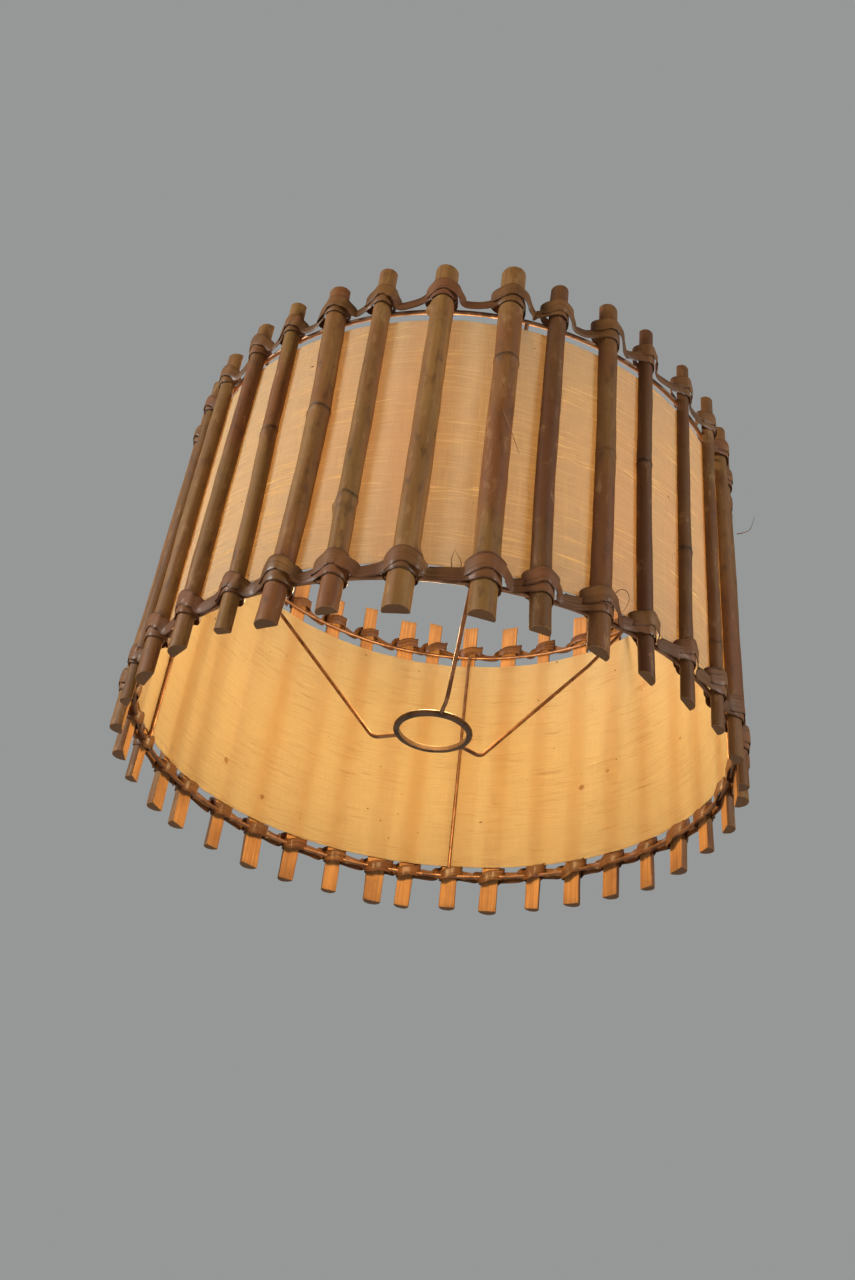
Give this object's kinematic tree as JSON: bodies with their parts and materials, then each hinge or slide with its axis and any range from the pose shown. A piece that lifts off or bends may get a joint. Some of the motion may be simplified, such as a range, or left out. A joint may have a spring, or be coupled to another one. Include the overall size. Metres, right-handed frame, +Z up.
{
  "type": "lamp shade",
  "caption": "Drum lamp shade of upright split rattan canes lashed to two wire rings, with a linen lining inside and a wire spider that carries a central fitting ring.",
  "frame": {"origin": "centre of the fitting ring's bore, on the shade's axis", "axes": "+Z up along the shade's axis, from the bottom ring to the top ring; -Y is the front"},
  "size_m": [0.3593, 0.3589, 0.2426],
  "materials": {
    "cane": "varnished split rattan, aged, with node rings and fine grain",
    "lashing": "glossy varnished rattan peel",
    "wire": "tarnished copper-coloured wire",
    "fitting_ring": "dark tarnished metal",
    "lining": "stiffened slubby linen, cream, lets light through"
  },
  "bodies": {
    "root": {"cane_01": "cane", "cane_02": "cane", "cane_03": "cane", "cane_04": "cane", "cane_05": "cane", "cane_06": "cane", "cane_07": "cane", "cane_08": "cane", "cane_09": "cane", "cane_10": "cane", "cane_11": "cane", "cane_12": "cane", "cane_13": "cane", "cane_14": "cane", "cane_15": "cane", "cane_16": "cane", "cane_17": "cane", "cane_18": "cane", "cane_19": "cane", "cane_20": "cane", "cane_21": "cane", "cane_22": "cane", "cane_23": "cane", "cane_24": "cane", "cane_25": "cane", "cane_26": "cane", "cane_27": "cane", "cane_28": "cane", "cane_29": "cane", "cane_30": "cane", "cane_31": "cane", "cane_32": "cane", "cane_33": "cane", "cane_34": "cane", "cane_35": "cane", "cane_36": "cane", "bottom_ring": "wire", "top_ring": "wire", "stay_back": "wire", "stay_left": "wire", "stay_front": "wire", "stay_right": "wire", "arm_front": "wire", "arm_left": "wire", "arm_right": "wire", "fitting_ring": "fitting_ring", "lining": "lining", "bottom_lashing": "lashing", "top_lashing": "lashing"}
  },
  "joints": []
}
